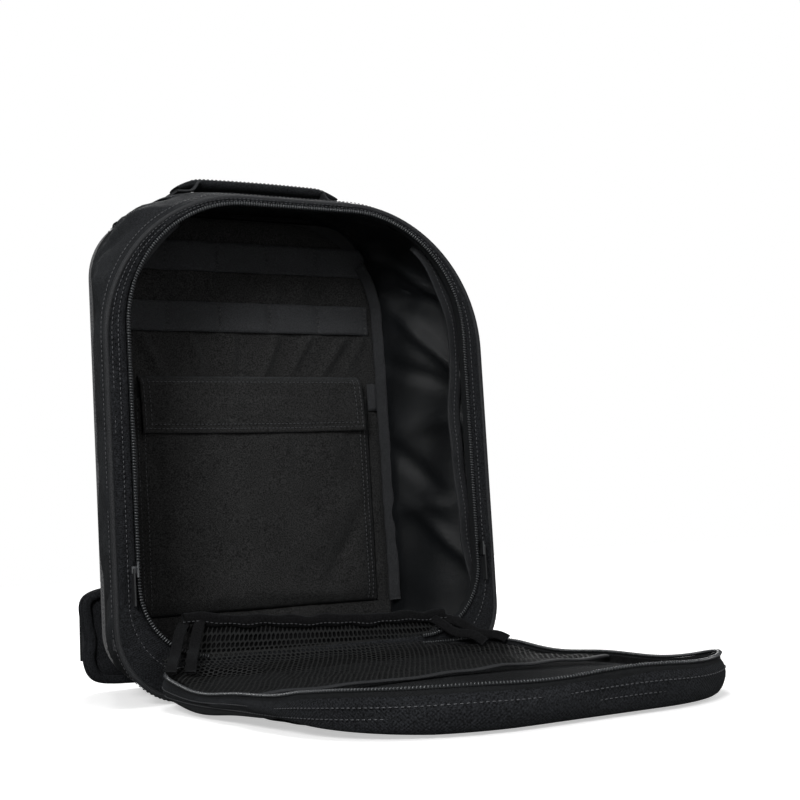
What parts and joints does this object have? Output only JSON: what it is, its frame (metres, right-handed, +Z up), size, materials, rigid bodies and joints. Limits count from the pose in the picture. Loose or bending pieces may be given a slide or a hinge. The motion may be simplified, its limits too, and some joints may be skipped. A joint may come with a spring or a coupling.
{
  "type": "trauma backpack",
  "caption": "Upright medical backpack whose zipped front panel folds down flat, with an inner lidded pocket, load webbing, net pocket, padded straps and belt.",
  "frame": {"origin": "centre of the base that the pack stands on, halfway between the front border's face and the back panel's face", "axes": "+Z up, -Y out of the opening towards the folded-down front panel, +X to the right when looking in"},
  "size_m": [0.33, 0.5417, 0.415],
  "materials": {
    "shell_fabric": "woven, satin",
    "foam": "matte",
    "frame_plastic": "satin",
    "lining": "woven, coated back",
    "binding": "ribbed tape",
    "webbing": "ribbed webbing",
    "zip_tape": "herringbone tape",
    "zip_coil": "nylon coil",
    "padding": "padded, spacer mesh",
    "buckle_plastic": "moulded",
    "slider_metal": "polished",
    "net": "open net"
  },
  "bodies": {
    "pack": {"gusset_shell": "shell_fabric", "front_border": "shell_fabric", "back_panel": "shell_fabric", "back_foam": "foam", "frame_sheet": "frame_plastic", "divider_panel": "lining", "divider_binding_left": "binding", "divider_binding_right": "binding", "webbing_row_lower": "webbing", "webbing_row_upper": "webbing", "inner_pocket": "lining", "pocket_tab_left": "webbing", "pocket_tab_right": "webbing", "hinge_binding": "binding", "pack_zip_tape": "zip_tape", "pack_zip_coil": "zip_coil", "handle_anchor_left": "webbing", "handle_anchor_right": "webbing", "back_pad": "padding", "shoulder_yoke": "shell_fabric", "lumbar_pad": "padding", "shoulder_strap_left": "padding", "shoulder_strap_right": "padding", "ladder_lock_left": "buckle_plastic", "ladder_lock_right": "buckle_plastic", "strap_tail_left": "webbing", "strap_tail_right": "webbing", "chest_webbing_right": "webbing", "chest_buckle_socket": "buckle_plastic"},
    "front_panel": {"panel_shell": "shell_fabric", "outer_pocket": "shell_fabric", "pocket_zip_tape": "zip_tape", "pocket_zip_coil": "zip_coil", "mesh_pocket": "net", "mesh_binding": "binding", "panel_zip_tape": "zip_tape", "panel_zip_coil": "zip_coil"},
    "lid": {"pocket_lid": "lining"},
    "handle": {"grab_handle": "shell_fabric"},
    "belt_left": {"waist_wing_left": "padding", "belt_webbing_left": "webbing", "waist_buckle_insert": "buckle_plastic"},
    "belt_right": {"waist_wing_right": "padding", "belt_webbing_right": "webbing", "waist_buckle_socket": "buckle_plastic"},
    "chest_left": {"chest_webbing_left": "webbing", "chest_buckle_insert": "buckle_plastic"},
    "left_slider": {"slider_left": "slider_metal"},
    "left_pull": {"pull_left": "slider_metal"},
    "right_slider": {"slider_right": "slider_metal"},
    "right_pull": {"pull_right": "slider_metal"},
    "outer_slider": {"pocket_slider": "slider_metal"},
    "outer_pull": {"pocket_pull": "slider_metal"}
  },
  "joints": [
    {"name": "panel_fold", "type": "hinge", "parent": "pack", "child": "front_panel", "pos_m": [0, -0.0653, 0.032], "axis": [-1, 0, 0], "range_deg": [0, 90]},
    {"name": "lid_flip", "type": "hinge", "parent": "pack", "child": "lid", "pos_m": [0.003, 0.0488, 0.256], "axis": [-1, 0, 0], "range_deg": [0, 90]},
    {"name": "handle_tilt", "type": "hinge", "parent": "pack", "child": "handle", "pos_m": [0, 0.015, 0.4003], "axis": [1, 0, 0], "range_deg": [-20, 20]},
    {"name": "belt_left_swing", "type": "hinge", "parent": "pack", "child": "belt_left", "pos_m": [-0.04215, 0.0993, 0.044], "axis": [0, 0, -1], "range_deg": [0, 90]},
    {"name": "belt_right_swing", "type": "hinge", "parent": "pack", "child": "belt_right", "pos_m": [0.04215, 0.0993, 0.044], "axis": [0, 0, 1], "range_deg": [0, 90]},
    {"name": "chest_release", "type": "slide", "parent": "pack", "child": "chest_left", "axis": [-1, 0, 0], "range_m": [0, 0.02]},
    {"name": "left_slider_travel", "type": "slide", "parent": "pack", "child": "left_slider", "axis": [0, 0, 1], "range_m": [0, 0.17]},
    {"name": "left_pull_flip", "type": "hinge", "parent": "left_slider", "child": "left_pull", "pos_m": [-0.1518, -0.0693, 0.099], "axis": [0, 1, 0], "range_deg": [0, 170]},
    {"name": "right_slider_travel", "type": "slide", "parent": "pack", "child": "right_slider", "axis": [0, 0, 1], "range_m": [0, 0.17]},
    {"name": "right_pull_flip", "type": "hinge", "parent": "right_slider", "child": "right_pull", "pos_m": [0.1518, -0.0693, 0.099], "axis": [0, -1, 0], "range_deg": [0, 170]},
    {"name": "outer_slider_travel", "type": "slide", "parent": "front_panel", "child": "outer_slider", "axis": [1, 0, 0], "range_m": [0, 0.154]},
    {"name": "outer_pull_flip", "type": "hinge", "parent": "outer_slider", "child": "outer_pull", "pos_m": [-0.077, -0.3483, 0.0046], "axis": [0, 1, 0], "range_deg": [0, 170]}
  ]
}
